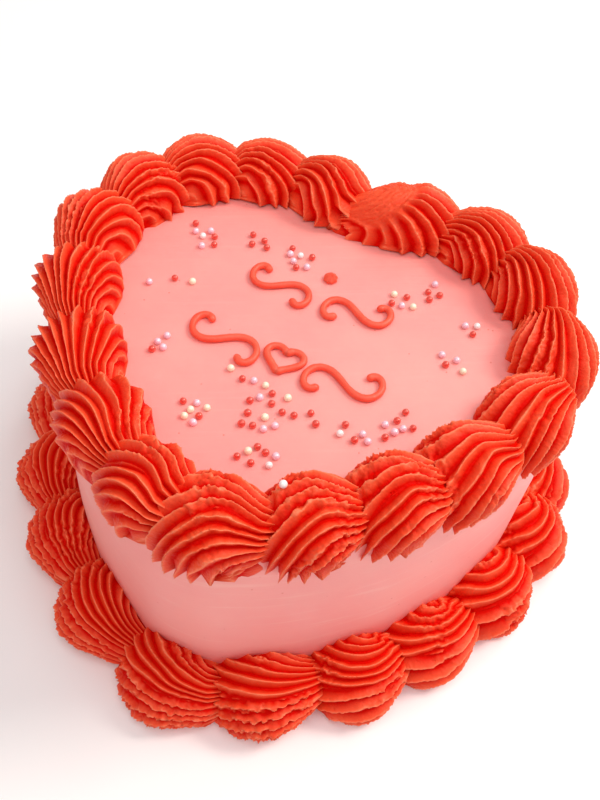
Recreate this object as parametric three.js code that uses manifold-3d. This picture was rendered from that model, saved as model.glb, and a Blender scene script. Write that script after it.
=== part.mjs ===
// Heart-shaped retro cake: smooth iced sponge, piped shell borders, piped scrolls and sugar pearls.
// Millimetres, +Z up. Origin on the base, half way along the heart. Tip of the heart towards -Y.

import * as THREE from 'three';
import { mergeVertices } from 'three/addons/utils/BufferGeometryUtils.js';
import Module from 'manifold-3d';

const wasm = await Module();
wasm.setup();

// Cake
const LOBE_R = 71;          // radius of each upper lobe
const LOBE_X = 32;          // lobe centre, to each side of the middle
const TIP_R = 38;           // radius of the rounded tip
const TIP_DROP = 79;        // from the line of the lobe centres down to the tip's centre
const FLANK_R = 150;        // radius of the long flank that joins lobe and tip
const CLEFT_R = 12;         // hollow radius where the icing fills the cleft
const CAKE_H = 104;         // height of the iced sides
const EDGE_BEVEL = 1.2;     // small worn edge round the top
const GAP = 0.3;            // clearance between pieces that touch
const COVER_GROW = 0.02;    // the same round a shell, as a share of its radius
const OUTLINE_POINTS = 44;

// The outer side of a shell hangs over the edge: from this angle across it, in radians, and over this
// angle, and its hem curls back in by this share of the distance aside.
const DRAPE_FROM = 1.35;
const DRAPE_OVER = 0.85;
const DRAPE_CURL = 0.05;

// Shells are given by their reach to head and tail, height, half width, half width of the foot, depth
// of the seat under the foot, drop of the outer side over the edge, height of a ridge as a share of the
// radius, number of ridges, and the angles of their cross sections from head to tail in degrees.

// Shells of the top border
const TOP_INSET = 10.5;     // line of the border, in from the edge of the cake
const TOP_ROLL = 8;         // degrees that each shell leans out over the edge
const TOP_SINK = 1.8;
const TOP_SHELL = {
  head: 23, tail: 27, height: 21, half: 17.5, foot: 16, depth: 9, drop: 5.5,
  ridge: 0.085, ridges: 8, betas: [0, 30, 60, 90, 125, 180],
};
const TOP_STEPS = [37, 29, 28, 28, 30, 31, 35, 33, 30, 25, 31, 29, 29, 34, 34, 33, 28, 35];
const TOP_START = -16;      // along the border from the cleft to the first shell, which bridges the cleft
const FIRST_SHELL_STRETCH = 1.3;

// Shells of the base border
const BASE_LINE = 14;       // line that the shells are spaced along, out from the wall
const BASE_OUTSET = 5;      // seat of each shell, out from the wall and up from the base
const BASE_RAISE = 6;
const BASE_ROLL = 40;
const BASE_SHELL = {
  head: 25, tail: 28, height: 21.5, half: 20, foot: 18, depth: 30, drop: 0,
  ridge: 0.08, ridges: 6, betas: [0, 42, 90, 130, 180],
};
const BASE_COUNT = 19;
const BASE_START = 239;     // along the border from the cleft to the first shell
const BASE_STEPS = [35, 38, 46, 40, 39, 35, 37, 37, 33];
const FLOOR_WIDTH = 400;    // block under the cake that the base shells are cut flat with
const FLOOR_DEPTH = 100;

// Piped scrolls on the top
const STROKE_W = 2.8;
const STROKE_H = 2.3;
const SCROLL_TURN = 4.9;    // radians that each end of a scroll turns through
const SCROLL_LEAN = 0.5;    // radians that its middle slopes down
const SCROLL_TALL = 1.3;    // stretch across the row
const UPPER_ROW = { y: 27, from: 3.5, to: 29 };
const LOWER_ROW = { y: -8, from: 10, to: 38 };
const ROW_HALF_HEIGHT = 9;
const HEART_PIPED = { y: -7.5, width: 14.5, height: 14, steps: 10 };
const DROP = { x: 0, y: 40, radius: 2.7, height: 4.2 };

// Sugar pearls
const PEARL_R = 1.45;
const PEARL_SINK = 0.5;     // how far each pearl sits in the icing
const PEARL_SPACE = 3.4;    // least distance between two pearls
const PEARL_CLEAR = 0.6;    // between a pearl and the piped lines
const PEARL_MARGIN = 34;    // least distance from the edge of the cake
const PEARL_SEED = 77;
// Each group is x, y, reach in x, reach in y, number of pearls.
const PEARL_GROUPS = [
  [-56, 40, 9, 9, 7], [-33, 47, 6, 4, 4], [-14, 46, 8, 8, 7], [-53, 9, 14, 6, 3],
  [-44, -21, 8, 6, 4], [27, 41, 9, 6, 5], [41, 51, 5, 6, 4], [60, 41, 6, 7, 3],
  [60, 20, 8, 5, 4], [-5, -21, 12, 3, 4], [8, -27, 19, 5, 9], [-19, -44, 6, 8, 8],
  [5, -38, 9, 4, 6], [52, -19, 8, 9, 11], [37, -29, 7, 4, 5], [9, -50, 9, 5, 7],
];
const SHELL_PEARL = { shell: 11, beta: 62, theta: 122 };

const ICING = new THREE.MeshStandardMaterial({ color: '#f39a94', roughness: 0.55, metalness: 0 });
const PIPING = new THREE.MeshStandardMaterial({ color: '#e4452a', roughness: 0.5, metalness: 0 });

// Same sequence of numbers between 0 and 1 each time, from a seed.
function seeded(seed) {
  let state = seed;
  return () => {
    state = (state * 48271) % 2147483647;
    return state / 2147483647;
  };
}

function radians(degrees) {
  return degrees * Math.PI / 180;
}

function arc(cx, cy, r, from, to, count) {
  const points = [];
  for (let i = 0; i < count; i += 1) {
    const a = from + (to - from) * i / count;
    points.push(new THREE.Vector2(cx + r * Math.cos(a), cy + r * Math.sin(a)));
  }
  return points;
}

// Left half of the heart as four arcs that meet smoothly: cleft, lobe, flank and tip, anticlockwise.
function heartArcs() {
  const cleftY = Math.sqrt((LOBE_R + CLEFT_R) ** 2 - LOBE_X ** 2);
  const cleftAngle = Math.atan2(cleftY, LOBE_X);
  const lobe = new THREE.Vector2(-LOBE_X, 0);
  const tip = new THREE.Vector2(0, -TIP_DROP);
  const apart = tip.distanceTo(lobe);
  const toLobe = FLANK_R - LOBE_R;
  const toTip = FLANK_R - TIP_R;
  const along = (toLobe ** 2 - toTip ** 2 + apart ** 2) / (2 * apart);
  const across = Math.sqrt(toLobe ** 2 - along ** 2);
  const dir = tip.clone().sub(lobe).divideScalar(apart);
  const flank = new THREE.Vector2(
    lobe.x + dir.x * along - dir.y * across,
    lobe.y + dir.y * along + dir.x * across,
  );
  const lobeEnd = Math.atan2(lobe.y - flank.y, lobe.x - flank.x) + 2 * Math.PI;
  const tipStart = Math.atan2(tip.y - flank.y, tip.x - flank.x) + 2 * Math.PI;
  return [
    arc(0, cleftY, CLEFT_R, -Math.PI / 2, cleftAngle - Math.PI, 24),
    arc(lobe.x, lobe.y, LOBE_R, cleftAngle, lobeEnd % (2 * Math.PI), 220),
    arc(flank.x, flank.y, FLANK_R, lobeEnd % (2 * Math.PI), tipStart % (2 * Math.PI), 120),
    arc(tip.x, tip.y, TIP_R, tipStart % (2 * Math.PI), 1.5 * Math.PI, 80),
  ].flat();
}

// Whole heart, anticlockwise from the cleft, centred half way along its length.
function heartLine() {
  const left = heartArcs();
  const right = left.slice(1).reverse().map((p) => new THREE.Vector2(-p.x, p.y));
  const tip = new THREE.Vector2(0, -TIP_DROP - TIP_R);
  const lift = (TIP_DROP + TIP_R - LOBE_R) / 2;
  return [...left, tip, ...right].map((p) => new THREE.Vector2(p.x, p.y + lift));
}

const HEART = heartLine();

// The heart moved outwards by a distance, as points with their length along the line.
function offsetHeart(distance) {
  const count = HEART.length;
  const points = HEART.map((p, i) => {
    const ahead = HEART[(i + 1) % count];
    const behind = HEART[(i + count - 1) % count];
    const way = ahead.clone().sub(behind).normalize();
    return new THREE.Vector2(p.x + way.y * distance, p.y - way.x * distance);
  });
  const lengths = [0];
  for (let i = 1; i <= count; i += 1) {
    lengths.push(lengths[i - 1] + points[i % count].distanceTo(points[i - 1]));
  }
  return { points, lengths, total: lengths[count] };
}

// Point and outward direction at a length along an offset heart.
function heartAt(line, length) {
  const s = ((length % line.total) + line.total) % line.total;
  let i = 0;
  while (line.lengths[i + 1] < s) {
    i += 1;
  }
  const a = line.points[i];
  const b = line.points[(i + 1) % line.points.length];
  const t = (s - line.lengths[i]) / (line.lengths[i + 1] - line.lengths[i]);
  const way = b.clone().sub(a).normalize();
  return { x: a.x + (b.x - a.x) * t, y: a.y + (b.y - a.y) * t, way, out: new THREE.Vector2(way.y, -way.x) };
}

function evenHeart(distance, count) {
  const base = offsetHeart(0);
  const points = [];
  for (let i = 0; i < count; i += 1) {
    const at = heartAt(base, base.total * (i + 0.5) / count);
    points.push(new THREE.Vector2(at.x + at.out.x * distance, at.y + at.out.y * distance));
  }
  return points;
}

function closedGeometry(vertices, faces) {
  let volume = 0;
  for (const [a, b, c] of faces) {
    volume += vertices[a].dot(new THREE.Vector3().crossVectors(vertices[b], vertices[c]));
  }
  const index = volume > 0 ? faces.flat() : faces.map(([a, b, c]) => [a, c, b]).flat();
  const geometry = new THREE.BufferGeometry();
  const positions = vertices.flatMap((v) => v.toArray());
  geometry.setAttribute('position', new THREE.Float32BufferAttribute(positions, 3));
  geometry.setIndex(index);
  return geometry;
}

// Upright slab with the heart's outline and a small bevel round its top.
function cakeGeometry(grow) {
  const top = CAKE_H + grow;
  const levels = [
    { distance: grow, z: 0 },
    { distance: grow, z: top - EDGE_BEVEL },
    { distance: grow - EDGE_BEVEL, z: top },
  ];
  const vertices = [];
  for (const level of levels) {
    for (const p of evenHeart(level.distance, OUTLINE_POINTS)) {
      vertices.push(new THREE.Vector3(p.x, p.y, level.z));
    }
  }
  const faces = [];
  for (let row = 0; row < levels.length - 1; row += 1) {
    for (let i = 0; i < OUTLINE_POINTS; i += 1) {
      const a = row * OUTLINE_POINTS + i;
      const b = row * OUTLINE_POINTS + (i + 1) % OUTLINE_POINTS;
      faces.push([a, b, b + OUTLINE_POINTS], [a, b + OUTLINE_POINTS, a + OUTLINE_POINTS]);
    }
  }
  const last = (levels.length - 1) * OUTLINE_POINTS;
  const flat = THREE.ShapeUtils.triangulateShape(evenHeart(0, OUTLINE_POINTS), []);
  for (const [a, b, c] of flat) {
    faces.push([c, b, a], [last + a, last + b, last + c]);
  }
  return closedGeometry(vertices, faces);
}

function toSolid(geometry) {
  const plain = geometry.clone();
  plain.deleteAttribute('normal');
  plain.deleteAttribute('uv');
  const merged = mergeVertices(plain);
  return new wasm.Manifold(new wasm.Mesh({
    numProp: 3,
    vertProperties: new Float32Array(merged.attributes.position.array),
    triVerts: new Uint32Array(merged.index.array),
  }));
}

// The largest piece that a cut leaves, as a geometry.
function toGeometry(solid) {
  const pieces = solid.decompose().sort((a, b) => b.volume() - a.volume());
  const mesh = pieces[0].getMesh();
  const geometry = new THREE.BufferGeometry();
  const positions = [];
  for (let i = 0; i < mesh.vertProperties.length; i += mesh.numProp) {
    positions.push(...mesh.vertProperties.slice(i, i + 3));
  }
  geometry.setAttribute('position', new THREE.Float32BufferAttribute(positions, 3));
  geometry.setIndex([...mesh.triVerts]);
  return geometry;
}

function smooth(t) {
  const k = Math.min(Math.max(t, 0), 1);
  return k * k * (3 - 2 * k);
}

// One point of a piped shell, in its own frame: x along the travel, y to the side, z up from its seat.
// Half planes fan round the shell's side axis: beta 0 is the ground at the head, 180 the ground at the
// tail. Theta runs across each half plane from one foot to the other, and the ridges follow it.
function shellPoint(form, beta, theta, relief) {
  const c = Math.cos(beta);
  const s = Math.sin(beta);
  const reach = c > 0 ? form.head : form.tail;
  const power = c > 0 ? 2 : 1.55;
  const span = ((Math.abs(c) / reach) ** power + (s / form.height) ** power) ** (-1 / power);
  const turn = beta / Math.PI;
  const half = form.half * (1 + 0.06 * Math.sin(beta * 2) - 0.55 * smooth((turn - 0.38) / 0.62));
  const rise = Math.max(Math.sin(theta), 0) ** (0.85 - 0.5 * smooth(turn));
  const side = Math.cos(theta) * (half * rise + form.foot * (1 - rise));
  const size = 1 + relief * (1 - 0.55 * smooth((turn - 0.45) / 0.55));
  const z = span * rise * s * size;
  const hang = smooth((DRAPE_FROM - theta) / DRAPE_OVER) * (1 - smooth(2 * z / form.height));
  const curl = form.drop > 0 ? 1 - DRAPE_CURL * hang : 1;
  return new THREE.Vector3(-span * rise * c * size, side * size * curl, z - form.drop * hang);
}

// Closed shell from the angles of its columns and their relief, a share of the radius.
function shellGeometry(shell, thetas, relief) {
  const { form } = shell;
  const columns = thetas.length - 1;
  const vertices = [];
  const rows = form.betas.length - 1;
  const place = (beta, column) => {
    const local = shellPoint(form, radians(beta), thetas[column], relief[column]);
    return vertices.push(local.applyMatrix4(shell.matrix)) - 1;
  };
  for (const beta of form.betas) {
    for (let column = 1; column < columns; column += 1) {
      place(beta, column);
    }
  }
  const footA = place(0, 0);
  const footB = place(0, columns);
  const seat = vertices.push(new THREE.Vector3(0, 0, -form.depth).applyMatrix4(shell.matrix)) - 1;
  const inner = columns - 1;
  const at = (row, column) => {
    if (column === 0) {
      return footA;
    }
    return column === columns ? footB : row * inner + column - 1;
  };
  const faces = [];
  const add = (a, b, c) => {
    if (a !== b && b !== c && c !== a) {
      faces.push([a, b, c]);
    }
  };
  for (let row = 0; row < rows; row += 1) {
    for (let column = 0; column < columns; column += 1) {
      add(at(row, column), at(row, column + 1), at(row + 1, column + 1));
      add(at(row, column), at(row + 1, column + 1), at(row + 1, column));
    }
  }
  for (let column = 0; column < columns; column += 1) {
    add(at(0, column + 1), at(0, column), seat);
    add(at(rows, column), at(rows, column + 1), seat);
  }
  return closedGeometry(vertices, faces);
}

// Shell with a crest and a valley for each ridge.
function ridgedShell(shell) {
  const { ridges, ridge } = shell.form;
  const thetas = Array.from({ length: ridges * 2 + 1 }, (_, i) => Math.PI * i / (ridges * 2));
  return toSolid(shellGeometry(shell, thetas, thetas.map((_, i) => ridge * (i % 2 ? 1 : -1))));
}

// Plain hull that just clears a shell's crests.
function shellCover(shell) {
  const { ridges, ridge } = shell.form;
  const crests = Array.from({ length: ridges }, (_, i) => Math.PI * (i + 0.5) / ridges);
  const thetas = [0, ...crests, Math.PI];
  return toSolid(shellGeometry(shell, thetas, thetas.map(() => ridge + COVER_GROW)));
}

// Frame of a shell on a border: x along the travel, y outwards and down, z up and outwards.
function shellFrame(at, inset, z, roll, turn) {
  const out = new THREE.Vector3(at.out.x, at.out.y, 0);
  const travel = new THREE.Vector3(at.way.x, at.way.y, 0).applyAxisAngle(new THREE.Vector3(0, 0, 1), turn);
  const across = new THREE.Vector3(travel.y, -travel.x, 0);
  const up = new THREE.Vector3(0, 0, 1);
  const side = across.clone().multiplyScalar(Math.cos(roll)).addScaledVector(up, -Math.sin(roll));
  const normal = across.clone().multiplyScalar(Math.sin(roll)).addScaledVector(up, Math.cos(roll));
  const centre = new THREE.Vector3(at.x, at.y, z).addScaledVector(out, -inset);
  return new THREE.Matrix4().makeBasis(travel, side, normal).setPosition(centre);
}

// A form of its own for each shell, a little larger or smaller than the common one.
function variedForm(form, draw, stretch) {
  const length = stretch * (0.95 + 0.1 * draw());
  return {
    ...form,
    head: form.head * length,
    tail: form.tail * length,
    height: form.height * (0.92 + 0.16 * draw()),
    half: form.half * (0.95 + 0.1 * draw()),
  };
}

function topShells() {
  const draw = seeded(11);
  const line = offsetHeart(-TOP_INSET);
  const scale = line.total / TOP_STEPS.reduce((sum, step) => sum + step, 0);
  let length = TOP_START;
  return TOP_STEPS.map((step, i) => {
    const at = heartAt(line, length);
    const form = variedForm(TOP_SHELL, draw, i === 0 ? FIRST_SHELL_STRETCH : 1);
    const roll = radians(TOP_ROLL + 6 * (draw() - 0.5));
    const turn = radians(10 * (draw() - 0.5));
    length += step * scale;
    return { form, matrix: shellFrame(at, 0, CAKE_H - TOP_SINK, roll, turn) };
  });
}

function baseShells() {
  const draw = seeded(23);
  const line = offsetHeart(BASE_LINE);
  const shown = BASE_STEPS.reduce((sum, step) => sum + step, 0);
  const rest = (line.total - shown) / (BASE_COUNT - BASE_STEPS.length);
  let length = BASE_START;
  return Array.from({ length: BASE_COUNT }, (_, i) => {
    const at = heartAt(line, length);
    const form = variedForm(BASE_SHELL, draw, 1);
    const roll = radians(BASE_ROLL + 8 * (draw() - 0.5));
    const turn = radians(8 * (draw() - 0.5));
    length += i < BASE_STEPS.length ? BASE_STEPS[i] : rest;
    return { form, matrix: shellFrame(at, BASE_LINE - BASE_OUTSET, BASE_RAISE, roll, turn) };
  });
}

// Piped line along a path on the top: a D-shaped section, swept, with rounded ends.
function strokeGeometry(path) {
  const sides = 4;
  const vertices = [];
  const faces = [];
  const last = path.length - 1;
  const z = CAKE_H + GAP;
  path.forEach((p, i) => {
    const way = path[Math.min(i + 1, last)].clone().sub(path[Math.max(i - 1, 0)]).normalize();
    const end = Math.min(1, 0.55 + 0.45 * Math.min(i, last - i));
    for (let k = 0; k <= sides; k += 1) {
      const a = Math.PI * k / sides;
      const aside = STROKE_W / 2 * end * Math.cos(a);
      const rise = STROKE_H * end * Math.sin(a);
      vertices.push(new THREE.Vector3(p.x + way.y * aside, p.y - way.x * aside, z + rise));
    }
  });
  const ring = sides + 1;
  for (let i = 0; i < last; i += 1) {
    const a = i * ring;
    const b = a + ring;
    for (let k = 0; k < ring; k += 1) {
      const n = (k + 1) % ring;
      faces.push([a + k, b + k, b + n], [a + k, b + n, a + n]);
    }
  }
  const end = last * ring;
  for (let k = 1; k < sides; k += 1) {
    faces.push([0, k, k + 1], [end, end + k + 1, end + k]);
  }
  return closedGeometry(vertices, faces);
}

// S-scroll whose curvature grows evenly from its middle to both ends, fitted between two x values.
function scrollPath(row, sign) {
  const steps = 19;
  const reach = Math.sqrt(2 * SCROLL_TURN);
  const raw = [];
  let x = 0;
  let y = 0;
  const step = 2 * reach / steps;
  for (let i = 0; i <= steps; i += 1) {
    raw.push(new THREE.Vector2(x, y));
    const s = -reach + (i + 0.5) * step;
    x += step * Math.cos(s * s / 2 - SCROLL_LEAN);
    y += step * Math.sin(s * s / 2 - SCROLL_LEAN);
  }
  const box = new THREE.Box2().setFromPoints(raw);
  const middle = box.getCenter(new THREE.Vector2());
  const scale = (row.to - row.from) / (box.max.x - box.min.x);
  const centreX = (row.from + row.to) / 2;
  return raw.map((p) => new THREE.Vector2(
    sign * (centreX + (p.x - middle.x) * scale),
    row.y + (p.y - middle.y) * scale * SCROLL_TALL,
  ));
}

// One side of a small piped heart, from its cleft round the lobe to its tip.
function halfHeartPath(sign) {
  const points = [];
  for (let i = 0; i <= HEART_PIPED.steps; i += 1) {
    const a = Math.PI * i / HEART_PIPED.steps;
    const x = Math.sin(a) ** 3;
    const y = (13 * Math.cos(a) - 5 * Math.cos(2 * a) - 2 * Math.cos(3 * a) - Math.cos(4 * a)) / 16;
    points.push(new THREE.Vector2(
      sign * x * HEART_PIPED.width / 2,
      HEART_PIPED.y + y * HEART_PIPED.height / 2,
    ));
  }
  return points;
}

// Peaked drop of icing.
function dropGeometry() {
  const profile = [[0, 0], [1, 0], [1.08, 0.28], [0.72, 0.62], [0.2, 0.88], [0, 1]];
  const points = profile.map(([r, z]) => new THREE.Vector2(r * DROP.radius, z * DROP.height));
  const geometry = new THREE.LatheGeometry(points, 10);
  geometry.rotateX(Math.PI / 2);
  geometry.translate(DROP.x, DROP.y, CAKE_H + GAP);
  return geometry;
}

function pearlGeometry(centre) {
  const geometry = new THREE.SphereGeometry(PEARL_R, 5, 4);
  geometry.rotateX(Math.PI / 2);
  geometry.translate(centre.x, centre.y, centre.z);
  return geometry;
}

function insideHeart(x, y, margin) {
  const line = offsetHeart(-margin).points;
  let inside = false;
  for (let i = 0, j = line.length - 1; i < line.length; j = i, i += 1) {
    const a = line[i];
    const b = line[j];
    if ((a.y > y) !== (b.y > y) && x < (b.x - a.x) * (y - a.y) / (b.y - a.y) + a.x) {
      inside = !inside;
    }
  }
  return inside;
}

// The strips that the piped rows take up, and the drop.
function onPiping(x, y) {
  const clear = PEARL_R + STROKE_W / 2 + PEARL_CLEAR;
  const onRow = [UPPER_ROW, LOWER_ROW].some((row) => (
    Math.abs(x) < row.to + clear && Math.abs(y - row.y) < ROW_HALF_HEIGHT + PEARL_R
  ));
  return onRow || Math.hypot(x - DROP.x, y - DROP.y) < DROP.radius + clear;
}

function pearlCentres() {
  const draw = seeded(PEARL_SEED);
  const centres = [];
  for (const [x, y, reachX, reachY, count] of PEARL_GROUPS) {
    let placed = 0;
    for (let attempt = 0; attempt < 60 && placed < count; attempt += 1) {
      const px = x + reachX * (draw() + draw() - 1);
      const py = y + reachY * (draw() + draw() - 1);
      const crowded = centres.some((p) => Math.hypot(p.x - px, p.y - py) < PEARL_SPACE);
      if (!crowded && !onPiping(px, py) && insideHeart(px, py, PEARL_MARGIN)) {
        centres.push(new THREE.Vector3(px, py, CAKE_H + PEARL_R - PEARL_SINK));
        placed += 1;
      }
    }
  }
  return centres;
}

function named(name, geometry, material) {
  const mesh = new THREE.Mesh(geometry, material);
  mesh.name = name;
  return mesh;
}

function nodeName(stem, number) {
  return `${stem}_${String(number).padStart(2, '0')}`;
}

// Iced cake with its pearls fused on.
function buildBody() {
  let solid = toSolid(cakeGeometry(0));
  for (const centre of pearlCentres()) {
    solid = solid.add(toSolid(pearlGeometry(centre)));
  }
  return named('cake_body', toGeometry(solid), ICING);
}

// Each shell lies over the tail of the one piped before it. The first node was piped last, so its own
// tail also lies over the head of the next one.
function buildTopShells() {
  const shells = topShells();
  const cake = toSolid(cakeGeometry(GAP));
  const covers = shells.map(shellCover);
  return shells.map((shell, i) => {
    let solid = ridgedShell(shell).subtract(cake);
    if (i > 0) {
      solid = solid.subtract(covers[(i + 1) % shells.length]);
    }
    if (i === 1) {
      solid = solid.subtract(covers[0]);
    }
    if (i === SHELL_PEARL.shell) {
      const { beta, theta } = SHELL_PEARL;
      const seat = shellPoint(shell.form, radians(beta), radians(theta), shell.form.ridge);
      solid = solid.add(toSolid(pearlGeometry(seat.applyMatrix4(shell.matrix))));
    }
    return named(nodeName('top_shell', i), toGeometry(solid), PIPING);
  });
}

function buildBaseShells() {
  const shells = baseShells();
  const cake = toSolid(cakeGeometry(GAP));
  const floor = new THREE.BoxGeometry(FLOOR_WIDTH, FLOOR_WIDTH, FLOOR_DEPTH);
  floor.translate(0, 0, -FLOOR_DEPTH / 2);
  const ground = toSolid(floor);
  return shells.map((shell, i) => {
    const next = shellCover(shells[(i + 1) % shells.length]);
    const solid = ridgedShell(shell).subtract(cake).subtract(ground).subtract(next);
    return named(nodeName('base_shell', i), toGeometry(solid), PIPING);
  });
}

function buildPiping() {
  const meshes = [];
  for (const [label, row] of [['upper', UPPER_ROW], ['lower', LOWER_ROW]]) {
    meshes.push(named(`scroll_${label}_left`, strokeGeometry(scrollPath(row, -1)), PIPING));
    meshes.push(named(`scroll_${label}_right`, strokeGeometry(scrollPath(row, 1)), PIPING));
  }
  const [left, right] = [-1, 1].map((sign) => toSolid(strokeGeometry(halfHeartPath(sign))));
  meshes.push(named('piped_heart', toGeometry(left.add(right)), PIPING));
  meshes.push(named('piped_drop', dropGeometry(), PIPING));
  return meshes;
}

const cake = new THREE.Group();
cake.add(buildBody(), ...buildTopShells(), ...buildBaseShells(), ...buildPiping());

export default cake;
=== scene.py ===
"""Looks of a heart-shaped retro cake: smooth icing, two borders of piped shells, piped scrolls and pearls.

Shapes are worked out in millimetres in the cake's own frame, with the origin on its base, the tip towards
-Y and +Z up, and go into their meshes in metres. A shell is a grid of two angles: beta turns from the ground
at its head over the hump to the ground at its tail, and theta runs across it from the outer foot, 0, to the
inner foot, pi.
"""

import math

import bpy
import numpy as np
from mathutils import Matrix, Vector


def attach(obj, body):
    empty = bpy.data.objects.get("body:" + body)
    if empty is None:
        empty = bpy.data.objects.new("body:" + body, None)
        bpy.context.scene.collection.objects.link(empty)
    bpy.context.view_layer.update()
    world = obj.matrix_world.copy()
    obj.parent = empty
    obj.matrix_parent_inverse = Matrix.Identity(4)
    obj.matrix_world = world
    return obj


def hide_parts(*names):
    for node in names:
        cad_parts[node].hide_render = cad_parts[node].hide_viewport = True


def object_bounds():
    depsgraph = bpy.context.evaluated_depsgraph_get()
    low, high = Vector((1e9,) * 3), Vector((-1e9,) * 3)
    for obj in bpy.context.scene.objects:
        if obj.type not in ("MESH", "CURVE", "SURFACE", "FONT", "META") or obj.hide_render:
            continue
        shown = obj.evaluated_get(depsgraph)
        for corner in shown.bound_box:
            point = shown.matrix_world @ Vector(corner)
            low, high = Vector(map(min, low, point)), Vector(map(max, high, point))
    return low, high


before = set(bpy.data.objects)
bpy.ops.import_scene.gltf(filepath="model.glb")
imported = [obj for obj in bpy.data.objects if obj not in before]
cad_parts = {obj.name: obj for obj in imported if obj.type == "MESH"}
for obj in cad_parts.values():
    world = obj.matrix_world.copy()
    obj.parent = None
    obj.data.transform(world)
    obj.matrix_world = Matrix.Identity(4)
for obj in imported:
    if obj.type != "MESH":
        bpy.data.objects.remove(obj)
cad_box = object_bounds()

MM = 0.001
NOISE_SIZE = 64
BOX_CLEAR = 0.05
SHELL_LOW = np.array(cad_box[0]) / MM + [BOX_CLEAR, BOX_CLEAR, 0]
SHELL_HIGH = np.array(cad_box[1]) / MM - BOX_CLEAR

# Cake
LOBE_R = 71.0
LOBE_X = 32.0
TIP_R = 38.0
TIP_DROP = 79.0
FLANK_R = 150.0
CLEFT_R = 12.0
CAKE_H = 104.0
EDGE_R = 1.5
EDGE_WEAR = 0.3
WALL_UNEVEN = 0.35
WALL_PATCH = 34.0
TOP_UNEVEN = 0.25
TOP_PATCH = 26.0
ARC_STEPS = {"cleft": 24, "lobe": 220, "flank": 120, "tip": 80}
OUTLINE_POINTS = 600
WALL_ROWS = 36
EDGE_ROWS = 6
TOP_RINGS = 88
SPATULA_WAY = math.radians(28)
FLAT_FROM = 0.7

# Plain form of a shell: the powers of its outline seen from the side, at the head and at the tail. Over the
# last part of the way its relief grows lower and its section narrower, each by a share. A section's sides
# rise by a power that is smaller, and so steeper, at the tail.
HEAD_POWER = 2.0
TAIL_POWER = 1.55
TAIL_RELIEF_LOSS = 0.55
RELIEF_LOSS_FROM = 0.45
RELIEF_LOSS_OVER = 0.55
HALF_SWELL = 0.06
TAIL_NARROW = 0.55
NARROW_FROM = 0.38
NARROW_OVER = 0.62
SIDE_POWER = 0.85
TAIL_STEEPER = 0.5

# How much shells differ in length, height and width, as a share from the smallest to the largest
VARIES = {"length": 0.1, "height": 0.16, "half": 0.1}

# The outer side of a shell hangs over the edge: from this angle across it and over this angle, and its hem
# curls back in by this share.
DRAPE_FROM = 1.35
DRAPE_OVER = 0.85
DRAPE_CURL = 0.05

# Fins of all shells: where a crest lies between its two valleys, counted from the centre of nested fins, the
# powers by which its sides fall towards that centre and away from it, the mean height of crests and how much
# they differ, how far fins wander in long and in short waves and the angle from the foot over which they
# begin to, and how far torn ones are pushed to and fro, in fins. The depths of a tear, of the jags on it and
# on every fin, and of the crumb, are shares of the radius.
CREST_AT = 0.34
CREST_FALL = (1.5, 1.25)
CREST_HEIGHTS = (0.82, 0.18)
FIN_WANDER = (0.22, 0.05)
WANDER_OVER = 0.35
TORN_PUSH = (0.22, 0.1)
TEAR_DEPTH = 0.07
TORN_JAG = 0.025
JAG_DEPTH = 0.03
CRUMB_DEPTH = 0.006
TORN_CRUMB = 0.008

# Relief lost at the foot of the head, the height above the foot over which it comes back, and how far along
# the foot the change takes
FOOT_CALM = 0.8
FOOT_HEIGHT = 0.3
FRONT_FADE = 0.3

# Hanging ends of the outer fins: how high above the foot they start, and from this angle across the shell and
# over this angle
POINT_HEIGHT = 0.08
POINT_FROM = 1.3
POINT_OVER = 0.5

# Flat area wiped on the cleft shell while it was soft: the slant of its edge and how wide it fades, its depth
# under the plain surface, how far that rises towards the tail, the depth of its grain, and its share of
# hollow, which the material paints as shade, with how much the grain changes that
WIPE_SLANT = 0.85
WIPE_FADE = 0.35
WIPE_DEPTH = 0.1
WIPE_RISE = 0.06
WIPE_GRAIN = 0.035
WIPE_HOLLOW_SHADE = (0.3, 0.2)

# A shell is drawn in under the one that lies over it, by this share, over this share of that one's radius.
TUCK_IN = 0.3
TUCK_OVER = 0.09

# Steps of a section in which the length of its arc is measured
SKIN_STEPS = 200

# Shells of the top border. Fins are counted from each side's centre of nested fins to the ridge line. For
# the outer and the inner side: where that centre lies along the foot, from the head, -1, to the tail, 1, and
# up from it. Nose lays part of a fin over the inner centre, and widen makes the fins wider near both.
# Front is where along the foot they fade out towards the head, fold how much deeper they are at the foot,
# and point how far a fin's end hangs below the hem, in mm. Ragged says how much more each side is torn, and
# tail_torn how much more the tail is. Smooth_from is where the wiped area begins, along the same way.
# Each shell has its numbers of fins on those two sides, how torn it is as a whole, and how far the ends of
# its fins swing towards the outer side, in radians. The steps are the ways along the border to the next.
TOP_INSET = 10.5
TOP_ROLL = 8.0
TOP_ROLL_SPREAD = 6.0
TOP_TURN_SPREAD = 10.0
TOP_SINK = 1.8
TOP_SHELL = {
    "head": 23.0, "tail": 27.0, "height": 21.0, "half": 17.5, "foot": 16.0, "depth": 9.0, "drop": 5.5,
}
TOP_LOOKS = {
    "crest": 0.085, "valley": -0.09, "outer": (0.66, 0.04), "inner": (0.62, 0.04), "nose": 0.4, "widen": 1.05,
    "front": -0.55, "fold": (0.02, 0.07), "point": 0.6, "ragged": (-0.17, 0.17), "tail_torn": 0.0,
}
CLEFT_LOOKS = {**TOP_LOOKS, "inner": (0.85, 0.05), "fold": (0.0, 0.1), "point": 0.8, "smooth_from": 0.5}
LEFT_LOOKS = {**TOP_LOOKS, "fold": (0.0, 0.0), "point": 0.2}
FRONT_LOOKS = {**TOP_LOOKS, "outer": (0.5, 0.05), "fold": (0.11, 0.0), "point": 0.5}
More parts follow.
